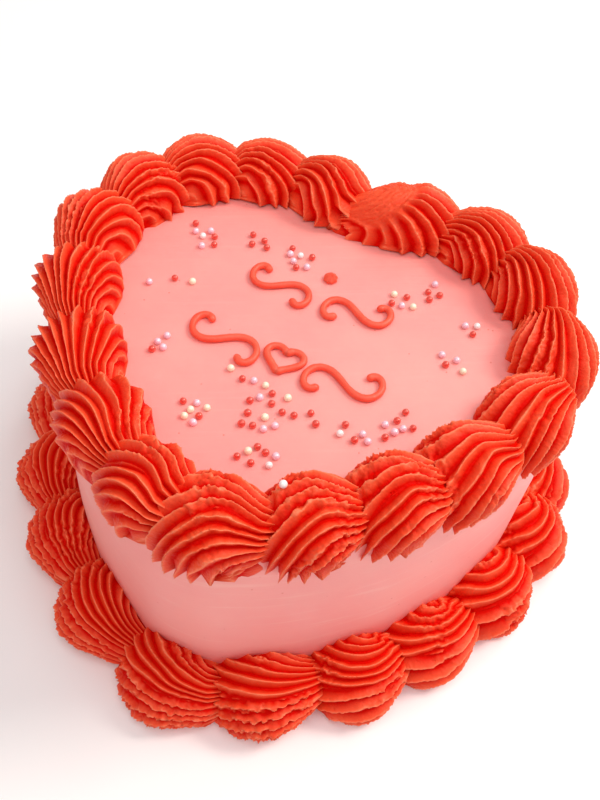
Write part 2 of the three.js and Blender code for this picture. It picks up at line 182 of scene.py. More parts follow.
TOP_KINDS = (CLEFT_LOOKS,) + (TOP_LOOKS,) * 4 + (LEFT_LOOKS,) * 4 + (FRONT_LOOKS,) * 6 + (TOP_LOOKS,) * 3
TOP_FINS = (
    (8, 9), (8, 8), (8, 8), (8, 8), (8, 8), (9, 8), (10, 9), (10, 9), (9, 8),
    (7, 8), (7, 8), (7, 8), (7, 8), (7, 8), (8, 9), (9, 10), (9, 10), (9, 10),
)
TOP_TORN = (-0.45, -0.5, -0.75, -0.6, -0.55, -0.3, -0.2, -0.4, -0.4, -0.3, -0.1, 0.1, 0, -0.2, -0.35,
            -0.4, -0.5, -0.5)
TOP_BEND = (-0.3, -0.4, -0.4, -0.4, -0.3, -0.1, 0, 0.1, 0.4, 0.7, 0.75, 0.75, 0.7, 0.6, 0.3, 0.1, -0.1, -0.3)
TOP_GRID = (112, 224)
TOP_STEPS = (37, 29, 28, 28, 30, 31, 35, 33, 30, 25, 31, 29, 29, 34, 34, 33, 28, 35)
TOP_START = -16.0
FIRST_SHELL_STRETCH = 1.3
TOP_SEED = 11

# Shells of the base border, the first ones scaly. The last numbers of fins and the last share torn go for all
# the shells on the far side, where the steps are all alike.
BASE_LINE = 14.0
BASE_OUTSET = 5.0
BASE_RAISE = 6.0
BASE_ROLL = 40.0
BASE_ROLL_SPREAD = 8.0
BASE_TURN_SPREAD = 8.0
BASE_SHELL = {
    "head": 25.0, "tail": 28.0, "height": 21.5, "half": 20.0, "foot": 18.0, "depth": 30.0, "drop": 0.0,
}
BASE_LOOKS = {
    "crest": 0.08, "valley": -0.085, "outer": (0.27, 0.0), "inner": (0.12, 0.33), "nose": 0.34, "widen": 1.05,
    "front": 0.3, "fold": (0.0, 0.0), "point": 0.0, "ragged": (0.25, 0.0), "tail_torn": 0.9,
}
SCALED_LOOKS = {**BASE_LOOKS, "inner": (0.5, 0.08), "nose": 0.0, "ragged": (0.5, -0.3), "tail_torn": 0.0}
SCALED_COUNT = 5
BASE_FINS = ((8, 9), (8, 9), (8, 9), (8, 9), (8, 8), (7, 7), (6, 6), (5, 5), (5, 5), (4, 5), (4, 5), (6, 6))
BASE_TORN = (0.5, 0.5, 0.45, 0.4, 0.3, -0.15, -0.2, -0.2, -0.25, -0.1)
BASE_BEND = -0.15
BASE_GRID = (88, 200)
BASE_COUNT = 19
BASE_START = 239.0
BASE_STEPS = (35, 38, 46, 40, 39, 35, 37, 37, 33)
BASE_SEED = 23

# Piped scrolls, heart and drop. A line swells into a blob near both ends, its size there given by its share,
# its distance from the end and its width, in half widths of the line. Elsewhere its size is the first share
# of swell, with more or less in long and in short waves.
STROKE_W = 2.8
STROKE_H = 2.6
STROKE_SINK = 0.3
STROKE_BLOB = (0.12, 1.2, 1.1)
STROKE_SWELL = (0.96, 0.07, 0.03)
STROKE_MOST = 1.06
SCROLL_TURN = 4.9
SCROLL_LEAN = 0.5
SCROLL_TALL = 1.3
UPPER_ROW = {"y": 27.0, "from": 3.5, "to": 29.0}
LOWER_ROW = {"y": -8.0, "from": 10.0, "to": 38.0}
ROW_HALF_HEIGHT = 9.0
HEART_PIPED = {"y": -7.5, "width": 14.5, "height": 14.0}
DROP = {"x": 0.0, "y": 40.0, "radius": 2.7, "height": 4.2, "sink": 0.1}
DROP_RIBS = {"count": 8, "depth": 0.06, "twist": 0.9}

# Sugar pearls: groups of x, y, reach in x, reach in y and the colours in the order they fall
PEARL_R = 1.45
PEARL_SIZES = (0.9, 1.0)
PEARL_SINK = 0.5
PEARL_SPACE = 3.4
PEARL_CLEAR = 0.6
PEARL_MARGIN = 34.0
PEARL_SEED = 77
PEARL_GROUPS = (
    (-56, 40, 9, 9, "pprrwpr"), (-33, 47, 6, 4, "rrrr"), (-14, 46, 8, 8, "pwprprr"), (-53, 9, 14, 6, "ipr"),
    (-44, -21, 8, 6, "rppp"), (27, 41, 9, 6, "pirri"), (41, 51, 5, 6, "rrpr"), (60, 41, 6, 7, "rwp"),
    (60, 20, 8, 5, "ippr"), (-5, -21, 12, 3, "ipir"), (8, -27, 19, 5, "prrrrirrr"),
    (-19, -44, 6, 8, "iipirrpp"), (5, -38, 9, 4, "ripprr"), (52, -19, 8, 9, "pprrrrpiwrr"),
    (37, -29, 7, 4, "rpwpr"), (9, -50, 9, 5, "rrwiprr"),
)
PEARL_TRIES = 60
SHELL_PEARL = {"shell": 11, "beta": 62.0, "theta": 122.0}

# Camera at the viewing angle of the picture: its place in mm, and how far it looks down, rolls and stands
# round the cake, in degrees. The lens is for a sensor of this width, across the picture's width.
CAMERA_PLACE = (71.43, -210.57, 360.83)
CAMERA_DOWN = 52.38
CAMERA_ROLL = 7.10
CAMERA_ROUND = 17.27
LENS = 54.06
SENSOR = 36.0

# Stage: a wide floor just under the cake, white surroundings, and softboxes from the right and behind with
# weaker ones from the front, given by name, place and size in metres, power in watts and colour
FLOOR_REACH = 6.0
FLOOR_Z = -0.0003
SKY_STRENGTH = 0.45
LIGHT_AIM = (0, 0, 0.06)
LIGHTS = (
    ("key", (0.75, 0.5, 1.1), 0.4, 10.0, "#FFF6EC"),
    ("window", (0.4, 1.0, 1.0), 0.7, 4.0, "#FFFFFF"),
    ("overhead", (0.15, -0.2, 1.35), 0.8, 5.0, "#FFFFFF"),
    ("cool_fill", (1.0, -0.6, 0.4), 1.0, 1.5, "#E6EDFF"),
    ("warm_fill", (-0.7, -1.0, 1.1), 0.9, 3.2, "#FFE8D8"),
)


def seeded(seed):
    """Same sequence of numbers between 0 and 1 each time, the one that the solids were made with."""
    modulus = 2 ** 31 - 1
    state = seed
    while True:
        state = (state * 48271) % modulus
        yield state / modulus


def smooth(t):
    """Rises from 0 to 1 along a smoothstep as t goes from 0 to 1."""
    k = np.clip(t, 0, 1)
    return k * k * (3 - 2 * k)


def noise(seed, x, y, size=NOISE_SIZE):
    """Smooth noise between -1 and 1: random numbers at whole x and y, blended between them by smoothsteps. So
    a number that x or y is multiplied by says how many patches there are to one of its units."""
    table = np.random.default_rng(seed).uniform(-1, 1, (size, size))
    x, y = np.broadcast_arrays(x, y)
    i = np.floor(x).astype(int)
    j = np.floor(y).astype(int)
    u = smooth(x - i)
    v = smooth(y - j)
    low = table[i % size, j % size] * (1 - u) + table[(i + 1) % size, j % size] * u
    high = table[i % size, (j + 1) % size] * (1 - u) + table[(i + 1) % size, (j + 1) % size] * u
    return low * (1 - v) + high * v


def arc(cx, cy, r, start, end, count):
    """Points of a circle's arc from one angle up to, but not including, another."""
    a = start + (end - start) * np.arange(count) / count
    return np.stack([cx + r * np.cos(a), cy + r * np.sin(a)], -1)


def heart_line():
    """The cake's outline, anticlockwise from the cleft: four arcs a side that meet smoothly, at the cleft,
    the lobe, the flank and the tip, centred half way along its length."""
    cleft_y = math.sqrt((LOBE_R + CLEFT_R) ** 2 - LOBE_X ** 2)
    cleft_angle = math.atan2(cleft_y, LOBE_X)
    lobe = np.array([-LOBE_X, 0.0])
    tip = np.array([0.0, -TIP_DROP])
    apart = np.linalg.norm(tip - lobe)
    to_lobe = FLANK_R - LOBE_R
    to_tip = FLANK_R - TIP_R
    along = (to_lobe ** 2 - to_tip ** 2 + apart ** 2) / (2 * apart)
    across = math.sqrt(to_lobe ** 2 - along ** 2)
    way = (tip - lobe) / apart
    flank = lobe + way * along + np.array([-way[1], way[0]]) * across
    lobe_end = math.atan2(lobe[1] - flank[1], lobe[0] - flank[0]) % (2 * math.pi)
    tip_start = math.atan2(tip[1] - flank[1], tip[0] - flank[0]) % (2 * math.pi)
    left = np.concatenate([
        arc(0, cleft_y, CLEFT_R, -math.pi / 2, cleft_angle - math.pi, ARC_STEPS["cleft"]),
        arc(lobe[0], lobe[1], LOBE_R, cleft_angle, lobe_end, ARC_STEPS["lobe"]),
        arc(flank[0], flank[1], FLANK_R, lobe_end, tip_start, ARC_STEPS["flank"]),
        arc(tip[0], tip[1], TIP_R, tip_start, 1.5 * math.pi, ARC_STEPS["tip"]),
    ])
    right = left[1:][::-1] * [-1, 1]
    whole = np.concatenate([left, [[0.0, -TIP_DROP - TIP_R]], right])
    whole[:, 1] += (TIP_DROP + TIP_R - LOBE_R) / 2
    return whole


HEART = heart_line()


def offset_heart(distance):
    """The heart moved outwards by a distance, and the length along it at each point."""
    way = np.roll(HEART, -1, 0) - np.roll(HEART, 1, 0)
    way /= np.linalg.norm(way, axis=1)[:, None]
    points = HEART + np.stack([way[:, 1], -way[:, 0]], -1) * distance
    steps = np.linalg.norm(np.roll(points, -1, 0) - points, axis=1)
    return points, np.concatenate([[0], np.cumsum(steps)])


def heart_at(line, length):
    """Point, forward direction and outward direction at lengths along an offset heart."""
    points, lengths = line
    s = np.asarray(length, float) % lengths[-1]
    i = np.clip(np.searchsorted(lengths, s, side="right") - 1, 0, len(points) - 1)
    a = points[i]
    b = points[(i + 1) % len(points)]
    t = ((s - lengths[i]) / (lengths[i + 1] - lengths[i]))[..., None]
    way = (b - a) / np.linalg.norm(b - a, axis=-1, keepdims=True)
    return a + (b - a) * t, way, np.stack([way[..., 1], -way[..., 0]], -1)


def outward(points, faces):
    """Face lists turned so that the closed surface they make has a positive volume."""
    volume = 0.0
    for rows in faces:
        for k in range(1, rows.shape[1] - 1):
            a, b, c = (points[rows[:, n]] for n in (0, k, k + 1))
            volume += np.sum(a * np.cross(b, c))
    return faces if volume > 0 else [rows[:, ::-1] for rows in faces]


def grid_faces(index):
    """Quads between the neighbours of a two-way table of vertex numbers."""
    a, b = index[:-1, :-1], index[:-1, 1:]
    c, d = index[1:, 1:], index[1:, :-1]
    return np.stack([a, b, c, d], -1).reshape(-1, 4)


def ring_index(rings, sides, start=0):
    """Two-way table of the vertex numbers of closed rings, with each ring's first number again at its end."""
    index = start + np.arange(rings * sides).reshape(rings, sides)
    return np.concatenate([index, index[:, :1]], 1)


def fan_faces(centre, rim):
    """Triangles from one vertex to each step of a rim."""
    return np.stack([np.full(len(rim) - 1, centre), rim[:-1], rim[1:]], -1)


def new_object(name, data):
    """A new object in the scene, at the origin."""
    thing = bpy.data.objects.new(name, data)
    bpy.context.scene.collection.objects.link(thing)
    return thing


def put_piece(name, points, faces, material, replaces=(), share=None):
    """Makes a smooth mesh piece that rides on the cake, from points in mm and arrays of quads and triangles.
    Its material reads the share, a value for each point, as the attribute hollow, for painted shade and
    highlight."""
    faces = outward(points, faces)
    mesh = bpy.data.meshes.new(name)
    mesh.from_pydata((points * MM).tolist(), [], [face for rows in faces for face in rows.tolist()])
    mesh.shade_smooth()
    if share is not None:
        mesh.attributes.new("hollow", "FLOAT", "POINT").data.foreach_set("value", share.astype(np.float32))
    mesh.materials.append(material)
    piece = new_object(name, mesh)
    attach(piece, "root")
    if replaces:
        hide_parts(*replaces)
    return piece


def hump_span(form, c, s):
    """Distance from the seat to the hump in the direction whose cosine and sine are given: a superellipse of
    the reach and the height."""
    reach = np.where(c > 0, form["head"], form["tail"])
    power = np.where(c > 0, HEAD_POWER, TAIL_POWER)
    return ((np.abs(c) / reach) ** power + (s / form["height"]) ** power) ** (-1 / power)


def shell_point(form, beta, theta, relief):
    """Points of a shell in its own frame: x along the travel, y to the side, z up from its seat. In the
    half plane at beta the surface rises to the hump with a power of sin theta, and its side follows cos
    theta. The relief swells both by a share of the radius. Near its outer foot the surface then hangs down by
    the drop, as a smoothstep of theta and of the height."""
    c = np.cos(beta)
    s = np.clip(np.sin(beta), 0, 1)
    span = hump_span(form, c, s)
    rise, side = shell_section(form, beta, theta)
    lost = TAIL_RELIEF_LOSS * smooth((beta / np.pi - RELIEF_LOSS_FROM) / RELIEF_LOSS_OVER)
    size = 1 + relief * (1 - lost)
    z = span * rise * s * size
    hang = smooth((DRAPE_FROM - theta) / DRAPE_OVER) * (1 - smooth(2 * z / form["height"]))
    curl = 1 - DRAPE_CURL * hang if form["drop"] else 1
    return np.stack([-span * rise * c * size, side * size * curl, z - form["drop"] * hang], -1)


def shell_section(form, beta, theta):
    """How far a section has risen at theta, from 0 at a foot to 1 on the ridge line, and its distance aside.
    Towards the tail the section grows narrower and its sides steeper."""
    turn = beta / np.pi
    narrow = TAIL_NARROW * smooth((turn - NARROW_FROM) / NARROW_OVER)
    half = form["half"] * (1 + HALF_SWELL * np.sin(2 * beta) - narrow)
    rise = np.clip(np.sin(theta), 0, 1) ** (SIDE_POWER - TAIL_STEEPER * smooth(turn))
    return rise, np.cos(theta) * (half * rise + form["foot"] * (1 - rise))


def shell_frame(at, way, out, inset, z, roll, turn):
    """Frame of a shell on a border as its axes in columns and its centre: x along the travel, turned about
    the upright by turn, y outwards and rolled down by roll, z up and outwards."""
    c, s = math.cos(turn), math.sin(turn)
    travel = np.array([c * way[0] - s * way[1], s * way[0] + c * way[1], 0.0])
    across = np.array([travel[1], -travel[0], 0.0])
    up = np.array([0.0, 0.0, 1.0])
    side = across * math.cos(roll) - up * math.sin(roll)
    normal = across * math.sin(roll) + up * math.cos(roll)
    centre = np.array([at[0] - out[0] * inset, at[1] - out[1] * inset, z])
    return np.stack([travel, side, normal], -1), centre


def varied(name, draw):
    """A drawn factor round 1 for what differs between shells."""
    return 1 - VARIES[name] / 2 + VARIES[name] * next(draw)


def varied_form(form, draw, stretch):
    """A form of its own for each shell, a little larger or smaller than the common one."""
    length = stretch * varied("length", draw)
    return {
        **form,
        "head": form["head"] * length,
        "tail": form["tail"] * length,
        "height": form["height"] * varied("height", draw),
        "half": form["half"] * varied("half", draw),
    }


def varied_angle(angle, spread, draw):
    """An angle in degrees, off by up to half the spread each way, in radians."""
    return math.radians(angle + spread * (next(draw) - 0.5))


def top_shells():
    """Form and frame of each shell of the top border, in the order they were piped."""
    draw = seeded(TOP_SEED)
    line = offset_heart(-TOP_INSET)
    scale = line[1][-1] / sum(TOP_STEPS)
    length = TOP_START
    shells = []
    for i, step in enumerate(TOP_STEPS):
        at, way, out = heart_at(line, length)
        form = varied_form(TOP_SHELL, draw, 1 if i else FIRST_SHELL_STRETCH)
        roll = varied_angle(TOP_ROLL, TOP_ROLL_SPREAD, draw)
        turn = varied_angle(0, TOP_TURN_SPREAD, draw)
        axes, centre = shell_frame(at, way, out, 0, CAKE_H - TOP_SINK, roll, turn)
        shells.append({"form": form, "axes": axes, "centre": centre, "seed": 100 + i, "looks": TOP_KINDS[i],
                       "fins": TOP_FINS[i], "torn": TOP_TORN[i], "bend": TOP_BEND[i]})
        length += step * scale
    return shells


def base_shells():
    """Form and frame of each shell of the base border."""
    draw = seeded(BASE_SEED)
    line = offset_heart(BASE_LINE)
    rest = (line[1][-1] - sum(BASE_STEPS)) / (BASE_COUNT - len(BASE_STEPS))
    length = BASE_START
    shells = []
    for i in range(BASE_COUNT):
        at, way, out = heart_at(line, length)
        form = varied_form(BASE_SHELL, draw, 1)
        roll = varied_angle(BASE_ROLL, BASE_ROLL_SPREAD, draw)
        turn = varied_angle(0, BASE_TURN_SPREAD, draw)
        axes, centre = shell_frame(at, way, out, BASE_LINE - BASE_OUTSET, BASE_RAISE, roll, turn)
        looks = SCALED_LOOKS if i < SCALED_COUNT else BASE_LOOKS
        fins = BASE_FINS[min(i, len(BASE_FINS) - 1)]
        torn = BASE_TORN[min(i, len(BASE_TORN) - 1)]
        shells.append({"form": form, "axes": axes, "centre": centre, "seed": 200 + i, "looks": looks,
                       "fins": fins, "torn": torn, "bend": BASE_BEND})
        length += BASE_STEPS[i] if i < len(BASE_STEPS) else rest
    return shells


def skin_place(form, beta, theta):
    """Place on a side of a shell, whose skin is taken as a half disc of radius 1 round the middle of its
    foot: along the foot from the head, -1, to the tail, 1, and up from the foot. The way round the middle is
    beta, and the distance from it is the share of the arc of beta's own section."""
    section = shell_point({**form, "drop": 0}, beta, np.linspace(0, np.pi / 2, SKIN_STEPS + 1)[None, :], 0.0)
    skin = np.cumsum(np.linalg.norm(np.diff(section, axis=1), axis=-1), axis=1)
    skin = np.concatenate([np.zeros((len(beta), 1)), skin / skin[:, -1:]], 1)
    at = np.minimum(theta, np.pi - theta) / (np.pi / 2) * SKIN_STEPS + 0 * beta
    step = np.clip(at.astype(int), 0, SKIN_STEPS - 1)
    low = np.take_along_axis(skin, step, 1)
    share = low + (np.take_along_axis(skin, step + 1, 1) - low) * (at - step)
    return -np.cos(beta) * share, np.sin(beta) * share


def fin_number(shell, beta, theta):
    """Counts the fins on each side, from the centre of its nested fins to the ridge line. A fin follows one
    ratio of the distance from that centre to the ridge line's distance in the same direction. So the fins are
    arcs round the centre, wide apart on the head's side of it and drawn together on the tail's. Noise makes
    them wander."""
    looks, seed = shell["looks"], shell["seed"]
    along, up = skin_place(shell["form"], beta, theta)
    numbers = []
    for side, count in zip(("outer", "inner"), shell["fins"]):
        centre = looks[side]
        x, y = along - centre[0], up - centre[1]
        near = np.hypot(x, y) + 1e-9
        lean = (centre[0] * x + centre[1] * y) / near
        far = np.sqrt(lean ** 2 + 1 - centre[0] ** 2 - centre[1] ** 2) - lean
        away = np.minimum(near / far, 1) ** looks["widen"]
        numbers.append(looks["nose"] * (side == "inner") * (1 - away) + count * away)
    number = np.where(theta < np.pi / 2, *numbers)
    long, short = FIN_WANDER
    wave = long * noise(seed, beta * 1.6 + 5, theta * 3.1) + short * noise(seed + 1, beta * 6, theta * 9)
    return number + wave * smooth(np.minimum(theta, np.pi - theta) / WANDER_OVER)


def fin_relief(shell, beta, theta):
    """Relief as a share of the radius, and the share of hollow. Across a fin it falls from the sharp crest by
    a power of the distance to the valley, steeply on the side of the centre of nested fins and slowly on the
    other, like tiles that overlap. Crests differ in height, and where the shell is torn, noise notches them
    and pushes them to and fro."""
    looks, seed = shell["looks"], shell["seed"]
    swing = 1 - smooth(beta / 1.7) + 0.8 * smooth((beta - 1.5) / 1.4)
    theta = theta + shell["bend"] * swing * np.sin(theta) ** 2
    inner = (theta > np.pi / 2).astype(float)
    ragged = np.where(inner, *looks["ragged"][::-1])
    patch = noise(seed + 3, beta * 1.5, theta * 1.5 + 9) + ragged + shell["torn"]
    patch = patch + looks["tail_torn"] * smooth((beta - 1.2) / 0.9)
    torn = smooth(patch * 1.2 + 0.15)
    wide, fine = TORN_PUSH
    push = noise(seed + 7, beta * 11, theta * 10) * wide + noise(seed + 9, beta * 24, theta * 17) * fine
    number = fin_number(shell, beta, theta) + push * torn
    which = np.floor(number)
    across = number - which
    above = across > CREST_AT
    fall = np.where(above, (1 - across) / (1 - CREST_AT), across / CREST_AT)
    crest_share = fall ** np.where(above, *CREST_FALL[::-1])
    mean, spread = CREST_HEIGHTS
    height = looks["crest"] * (mean + spread * noise(seed + 2, which * 5.3 + inner * 31, beta * 0.6))
    tear = noise(seed + 4, beta * 13, which * 7.7 + inner * 19) * 0.5 + 0.5
    jag = noise(seed + 5, beta * 28, theta * 20) * 0.5 + 0.5
    height = height - torn * (TEAR_DEPTH * tear ** 1.5 + TORN_JAG * jag) - JAG_DEPTH * jag
    crumb = (CRUMB_DEPTH + TORN_CRUMB * torn) * noise(seed + 6, beta * 30, theta * 28)
    relief = looks["valley"] + (height - looks["valley"]) * crest_share + crumb
    return np.minimum(relief, looks["crest"]), 1 - crest_share


def wiped_area(shell, beta, theta, along, up):
    """How flat a shell was wiped, from 0 to 1, the grain there, which is noise drawn out along the wipe, and
    the way from the slanting line on the shell where it starts. The area keeps clear of both hems."""
    outer = theta < np.pi / 2
    slant = np.where(outer, WIPE_SLANT * np.sin(beta) - np.cos(beta), along + WIPE_SLANT * up)
    slant = slant - shell["looks"]["smooth_from"]
    across = np.where(outer, np.sin(beta) + np.pi / 2 - theta, up)
    clear = np.where(outer, smooth((theta - 0.5) / 0.5), smooth((up - 0.2) / 0.12))
    coarse = noise(shell["seed"] + 8, slant * 26, across * 7)
    fine = noise(7, slant * 52, across * 26)
    return smooth((slant + 0.12) / WIPE_FADE) * clear, 0.65 * coarse + 0.35 * fine, slant


def shell_surface(shell, grid):
    """Points of the shell's grid in its own frame with their share of hollow, rows by beta and columns by
    theta. The relief is low where the head meets the ground, and the ends of the outer fins hang down as
    small points."""
    rows, columns = grid
    looks = shell["looks"]
    beta = np.linspace(0, np.pi, rows)[:, None]
    theta = np.linspace(0, np.pi, columns)[None, :]
    relief, hollow = fin_relief(shell, beta, theta)
    along, up = skin_place(shell["form"], beta, theta)
    low = 1 - smooth(up / FOOT_HEIGHT)
    front = smooth((looks["front"] - along) / FRONT_FADE)
    fold = np.where(theta < np.pi / 2, *looks["fold"])
    calm = np.where(fold > 0, front, np.maximum(front, looks["point"] > 0))
    relief = relief * (1 - FOOT_CALM * low * calm) - fold * low * (1 - front) * hollow
    if "smooth_from" in looks:
        wiped, grain, slant = wiped_area(shell, beta, theta, along, up)
        dish = WIPE_GRAIN * grain - WIPE_DEPTH + WIPE_RISE * smooth(slant)
        relief = relief * (1 - wiped) + dish * wiped
        # Painted shade on the wiped area: its share of hollow, which the material darkens, is set here and
        # changed by the grain.
        plain, change = WIPE_HOLLOW_SHADE
        hollow = hollow * (1 - wiped) + (plain - change * grain) * wiped
    points = shell_point(shell["form"], beta, theta, relief)
    hem = np.exp(-(up / POINT_HEIGHT) ** 2) * (1 - front)
    points[..., 2] -= looks["point"] * hem * (1 - hollow) * smooth((POINT_FROM - theta) / POINT_OVER)
    return points, np.broadcast_to(hollow, (rows, columns))


def shell_ratio(shell, points):
    """How far points lie out from a shell's seat, as a share of the way to its plain surface. In the half
    plane through the point, theta is halved in on until the section's side over its rise is the point's."""
    form = shell["form"]
    x, y, z = np.moveaxis((points - shell["centre"]) @ shell["axes"], -1, 0)
    z = np.maximum(z, 0)
    beta = np.arctan2(z, -x)
    up = np.hypot(x, z) / hump_span(form, np.cos(beta), np.clip(np.sin(beta), 0, 1))
    low = np.zeros_like(x)
    high = np.full_like(x, np.pi)
    for _ in range(22):
        middle = (low + high) / 2
        rise, side = shell_section(form, beta, middle)
        too_far_out = side * up > y * rise
        low = np.where(too_far_out, middle, low)
        high = np.where(too_far_out, high, middle)
    rise, side = shell_section(form, beta, (low + high) / 2)
    return np.hypot(up, y) / np.hypot(rise, side)


def tuck(points, over, crest):
    """Where a later shell lies over these points, draws them in towards that shell's seat, under its
    valleys."""
    ratio = shell_ratio(over, points)
    covered = smooth((1 + crest + TUCK_OVER - ratio) / TUCK_OVER)
    return over["centre"] + (points - over["centre"]) * (1 - TUCK_IN * covered)[..., None]


def shell_piece(name, shell, grid, later, material):
    """Closed shell: the grid of its surface, whose first and last columns are single poles, and a cone from
    its foot line down to a seat inside the cake."""
    local, hollow = shell_surface(shell, grid)
    world = local @ shell["axes"].T + shell["centre"]
    for over in later:
        world = tuck(world, over, shell["looks"]["crest"])
    seat = shell["axes"] @ np.array([0, 0, -shell["form"]["depth"]]) + shell["centre"]
    poles = world[:, [0, -1]].mean(0)
    points = np.concatenate([world[:, 1:-1].reshape(-1, 3), poles, [seat]])
    points = np.clip(points, SHELL_LOW, SHELL_HIGH)
    shares = np.concatenate([hollow[:, 1:-1].ravel(), hollow[:, [0, -1]].mean(0), [1.0]])
    rows, columns = grid[0], grid[1] - 2
    index = np.arange(rows * columns).reshape(rows, columns)
    pole_a, pole_b, bottom = rows * columns + np.arange(3)
    head = np.concatenate([[pole_a], index[0], [pole_b]])
    tail = np.concatenate([[pole_a], index[-1], [pole_b]])
    triangles = np.concatenate([
        fan_faces(pole_a, index[::-1, 0]), fan_faces(pole_b, index[:, -1]),
        fan_faces(bottom, head[::-1]), fan_faces(bottom, tail),
    ])
    return put_piece(name, points, [grid_faces(index), triangles[:, ::-1]], material, (name,),
                     shares)


def cake_piece(material):
    """Iced body. Rows go up the wall, round a small edge and then in rings to the middle of the top. The wall
    and the top are uneven by smooth noise, and the top is level where it meets the edge."""
    line = offset_heart(0)
    length = line[1][-1] * (np.arange(OUTLINE_POINTS) + 0.5) / OUTLINE_POINTS
    at, _, out = heart_at(line, length)
    heights = (CAKE_H - EDGE_R) * np.linspace(0, 1, WALL_ROWS)
    bend = np.linspace(0, np.pi / 2, EDGE_ROWS + 1)[1:]
    inward = np.concatenate([np.zeros(WALL_ROWS), EDGE_R * (1 - np.cos(bend))])
    z = np.concatenate([heights, CAKE_H - EDGE_R * (1 - np.sin(bend))])
    turn = length / line[1][-1] * NOISE_SIZE
    bulge = WALL_UNEVEN * noise(1, turn[None, :] * 0.5, z[:, None] / WALL_PATCH)
    wear = EDGE_WEAR * noise(2, turn[None, :] * 2, 0 * z[:, None]) * (inward > 0)[:, None]
    aside = bulge - inward[:, None] - wear * (z / CAKE_H > 0.99)[:, None]
    side = np.concatenate([
        at[None] + out[None] * aside[..., None],
        np.broadcast_to(z[:, None, None], (len(z), OUTLINE_POINTS, 1)),
    ], -1)
    shrink = np.linspace(1, 0, TOP_RINGS + 1)[1:-1]
    ring = side[-1][None, :, :2] * shrink[:, None, None]
    away = smooth((1 - shrink) * 12)[:, None]
    flat = CAKE_H + TOP_UNEVEN * noise(3, ring[..., 0] / TOP_PATCH + 9, ring[..., 1] / TOP_PATCH + 9)
    flat = flat * away + CAKE_H * (1 - away)
    top = np.concatenate([ring, flat[..., None]], -1)
    surface = np.concatenate([side, top])
    rows = len(surface)
    points = np.concatenate([surface.reshape(-1, 3), [[0, 0, CAKE_H], [0, 0, 0]]])
    index = ring_index(rows, OUTLINE_POINTS)
    middle = rows * OUTLINE_POINTS
    triangles = np.concatenate([fan_faces(middle, index[-1]), fan_faces(middle + 1, index[0][::-1])])
    piece = put_piece("cake_icing", points, [grid_faces(index), triangles], material, ("cake_body",))
    add_spatula_map(piece, line[1][-1])


def add_spatula_map(piece, around):
    """Map whose first axis follows the spatula: round the wall by the angle, and slanting across the top,
    which is taken to be where the upright share of the normal is large."""
    mesh = piece.data
    corners = np.zeros(len(mesh.loops), int)
    mesh.loops.foreach_get("vertex_index", corners)
    co = np.zeros(len(mesh.vertices) * 3)
    mesh.vertices.foreach_get("co", co)
    co = co.reshape(-1, 3)
    normal = np.zeros(len(mesh.polygons) * 3)
    mesh.polygons.foreach_get("normal", normal)
    per_face = np.zeros(len(mesh.polygons), int)
    mesh.polygons.foreach_get("loop_total", per_face)
    flat = np.repeat(np.abs(normal.reshape(-1, 3)[:, 2]) > FLAT_FROM, per_face)
    x, y, z = co[corners].T
    round_wall = (np.arctan2(y, x) / (2 * np.pi)) * around * MM
    along = x * math.cos(SPATULA_WAY) + y * math.sin(SPATULA_WAY)
    across = y * math.cos(SPATULA_WAY) - x * math.sin(SPATULA_WAY)
    uv = np.stack([np.where(flat, along, round_wall), np.where(flat, across, z)], -1)
    mesh.uv_layers.new(name="spatula").data.foreach_set("uv", uv.astype(np.float32).ravel())


def scroll_path(row, sign, steps=150):
    """S-scroll whose curvature grows evenly from its middle to both ends, fitted between two x values."""
    reach = math.sqrt(2 * SCROLL_TURN)
    s = -reach + (np.arange(steps) + 0.5) * 2 * reach / steps
    heading = s * s / 2 - SCROLL_LEAN
    path = np.concatenate([[[0, 0]], np.cumsum(np.stack([np.cos(heading), np.sin(heading)], -1), 0)])
    low, high = path.min(0), path.max(0)
    scale = (row["to"] - row["from"]) / (high[0] - low[0])
    path = (path - (low + high) / 2) * scale * [1, SCROLL_TALL] + [(row["from"] + row["to"]) / 2, row["y"]]
    return path * [sign, 1]


def half_heart_path(sign, steps=70):
    """One side of the small heart, from its cleft round the lobe to its tip."""
    a = np.pi * (0.02 + 0.98 * np.linspace(0, 1, steps))
    x = np.sin(a) ** 3 * HEART_PIPED["width"] / 2
    y = (13 * np.cos(a) - 5 * np.cos(2 * a) - 2 * np.cos(3 * a) - np.cos(4 * a)) / 16
    return np.stack([sign * x, HEART_PIPED["y"] + y * HEART_PIPED["height"] / 2], -1)


def stroke_surface(path, seed, sides=20):
    """Piped line along a path: a round section, a little flat, swept and swollen by noise, whose radius
    closes as a circle does over its last half width at both ends."""
    steps = np.linalg.norm(np.diff(path, axis=0), axis=1)
    length = np.concatenate([[0], np.cumsum(steps)])
    way = np.gradient(path, axis=0)
    way /= np.linalg.norm(way, axis=1)[:, None]
    aside = np.stack([way[:, 1], -way[:, 0]], -1)
    radius = STROKE_W / 2
    to_end = np.minimum(length, length[-1] - length) / radius
    close = np.sqrt(np.clip(1 - (1 - np.clip(to_end, 0.02, 1)) ** 2, 0, 1))
    share, distance, width = STROKE_BLOB
    blob = 1 + share * np.exp(-((to_end - distance) / width) ** 2)
    plain, long, short = STROKE_SWELL
    swell = plain + long * noise(seed, length / 5, 0 * length)
    swell = swell + short * noise(seed, length / 1.3, 0 * length + 9)
    size = (close * np.minimum(blob * swell, STROKE_MOST))[:, None]
    a = 2 * np.pi * np.arange(sides)[None, :] / sides
    rough = 1 + 0.03 * noise(seed + 1, length[:, None] / 0.9, np.abs(a - np.pi) * 3)
    flat = radius * size * rough * np.cos(a)
    xy = path[:, None, :] + aside[:, None, :] * flat[..., None]
    z = CAKE_H - STROKE_SINK + STROKE_H / 2 * (1.1 + size * rough * np.sin(a) * 1.05)
    return np.concatenate([xy, z[..., None]], -1)


